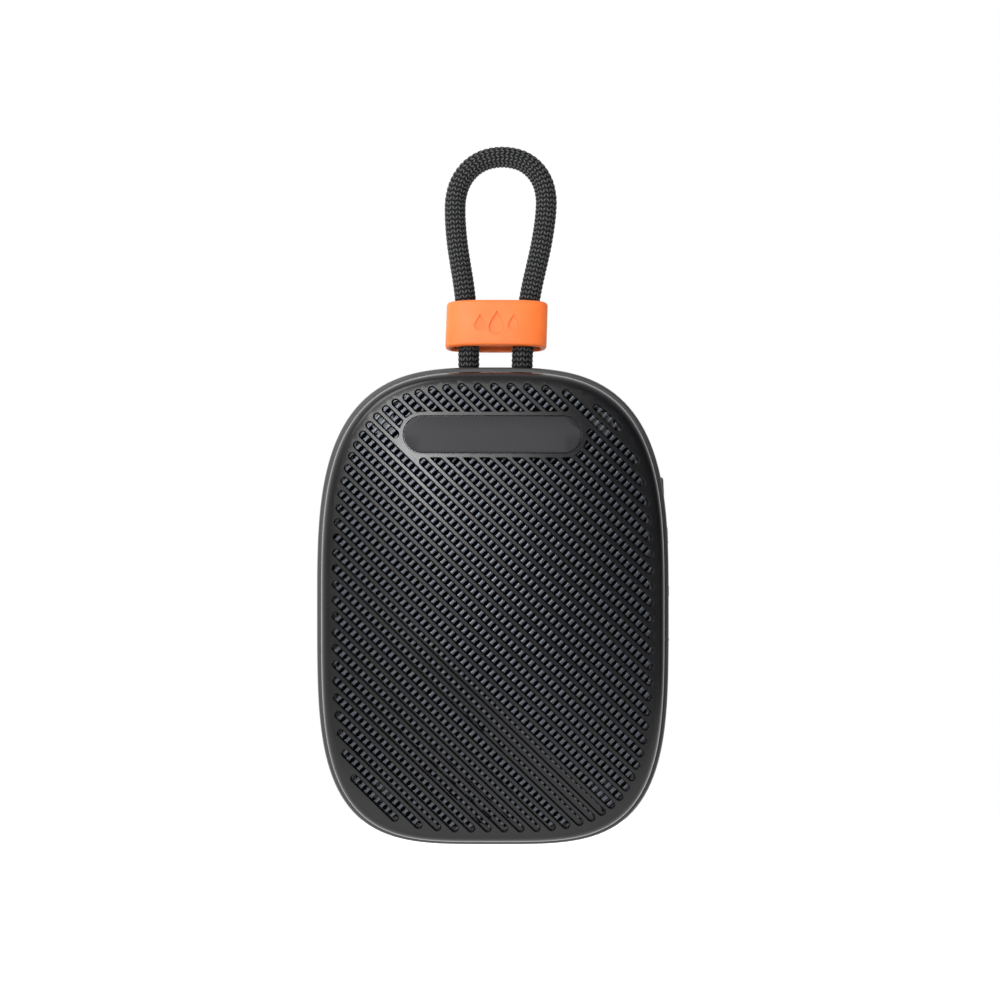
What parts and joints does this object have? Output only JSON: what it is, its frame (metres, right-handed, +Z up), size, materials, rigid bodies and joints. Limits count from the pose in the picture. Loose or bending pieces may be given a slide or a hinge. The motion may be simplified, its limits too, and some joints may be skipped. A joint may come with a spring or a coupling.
{
  "type": "shower speaker",
  "caption": "Palm-sized waterproof hang-up speaker: rounded housing with a diagonally slotted grille, side keys, a port flap, and a braided cord loop with a silicone sleeve.",
  "frame": {"origin": "inside of the cord loop's top, where a hook holds the speaker", "axes": "+Z up along the hanging housing, -Y out of the grille, +X to the right as one looks at the grille"},
  "size_m": [0.0815, 0.0276, 0.1628],
  "materials": {
    "cover_plastic": "fine satin moulded plastic, dark charcoal",
    "shell_plastic": "soft-touch satin plastic, dark charcoal",
    "badge_satin": "smooth satin, a little lighter than the cover",
    "orange_silicone": "matt orange silicone",
    "black_braid": "black braided polyester with pale grey flecks",
    "key_rubber": "matt silicone",
    "strip_rubber": "matt silicone",
    "flap_rubber": "matt silicone",
    "foot_rubber": "matt rubber",
    "inner_rubber": "matt rubber",
    "inner_plastic": "plain moulded plastic",
    "steel": "plated steel",
    "ferrite": "grey ferrite",
    "cone_polymer": "matt black cone",
    "copper_coil": "enamelled copper wire",
    "acoustic_cloth": "black acoustic cloth",
    "circuit_board": "green solder mask",
    "chip_black": "black epoxy",
    "battery_wrap": "silver-grey film",
    "clear_lens": "translucent light guide"
  },
  "bodies": {
    "housing": {"acoustic_mesh": "acoustic_cloth", "amplifier_chip": "chip_black", "badge_plate": "badge_satin", "baffle_plate": "inner_plastic", "battery": "battery_wrap", "battery_lead": "inner_rubber", "battery_pad": "inner_rubber", "board_screw_1": "steel", "board_screw_2": "steel", "button_board": "circuit_board", "charge_chip": "chip_black", "control_strip": "strip_rubber", "cord_crimp_left": "steel", "cord_crimp_right": "steel", "driver_basket": "steel", "driver_magnet": "ferrite", "driver_screw_1": "steel", "driver_screw_2": "steel", "driver_screw_3": "steel", "driver_screw_4": "steel", "driver_spider": "acoustic_cloth", "driver_surround": "inner_rubber", "driver_top_plate": "steel", "driver_yoke": "steel", "front_cover": "cover_plastic", "housing_screw_1": "steel", "housing_screw_2": "steel", "housing_screw_3": "steel", "housing_screw_4": "steel", "housing_seal": "inner_rubber", "light_pipe": "clear_lens", "main_board": "circuit_board", "radio_module": "chip_black", "rear_foot_lower": "foot_rubber", "rear_foot_upper": "foot_rubber", "rear_shell": "shell_plastic", "speaker_lead": "inner_rubber", "strap_anchor": "inner_plastic", "tact_switch_1": "chip_black", "tact_switch_2": "chip_black", "tact_switch_3": "chip_black", "tact_switch_4": "chip_black", "usb_socket": "steel"},
    "loop": {"strap_cord": "black_braid"},
    "sleeve": {"cord_sleeve": "orange_silicone"},
    "cone": {"driver_cone": "cone_polymer", "driver_dust_cap": "cone_polymer", "driver_voice_coil": "copper_coil"},
    "flap": {"port_flap": "flap_rubber"},
    "key_power_body": {"key_power": "key_rubber"},
    "key_volume_up_body": {"key_volume_up": "key_rubber"},
    "key_play_body": {"key_play": "key_rubber"},
    "key_volume_down_body": {"key_volume_down": "key_rubber"}
  },
  "joints": [
    {"name": "loop_swing", "type": "hinge", "parent": "housing", "child": "loop", "pos_m": [-0.00152, -0.0072, -0.04548], "axis": [-1, 0, 0], "range_deg": [-48, 30], "stiffness_Nm_per_rad": 0.004, "springref_deg": -1.72, "deforming": ["strap_cord"]},
    {"name": "sleeve_slide", "type": "slide", "parent": "loop", "child": "sleeve", "axis": [0.033, 0.1563, 0.9872], "range_m": [0, 0.003]},
    {"name": "cone_travel", "type": "slide", "parent": "housing", "child": "cone", "axis": [0, -1, 0], "range_m": [-0.001, 0.001], "stiffness_N_per_m": 1500, "deforming": ["driver_surround", "driver_spider"]},
    {"name": "flap_hinge", "type": "hinge", "parent": "housing", "child": "flap", "pos_m": [-0.04287, -0.0067, -0.10358], "axis": [0, -1, 0], "range_deg": [0, 110]},
    {"name": "power_press", "type": "slide", "parent": "housing", "child": "key_power_body", "axis": [-1, 0, 0], "range_m": [0, 0.0004], "stiffness_N_per_m": 1500, "springref_m": -0.0002},
    {"name": "volume_up_press", "type": "slide", "parent": "housing", "child": "key_volume_up_body", "axis": [-1, 0, 0], "range_m": [0, 0.0004], "stiffness_N_per_m": 1500, "springref_m": -0.0002},
    {"name": "play_press", "type": "slide", "parent": "housing", "child": "key_play_body", "axis": [-1, 0, 0], "range_m": [0, 0.0004], "stiffness_N_per_m": 1500, "springref_m": -0.0002},
    {"name": "volume_down_press", "type": "slide", "parent": "housing", "child": "key_volume_down_body", "axis": [-1, 0, 0], "range_m": [0, 0.0004], "stiffness_N_per_m": 1500, "springref_m": -0.0002}
  ]
}
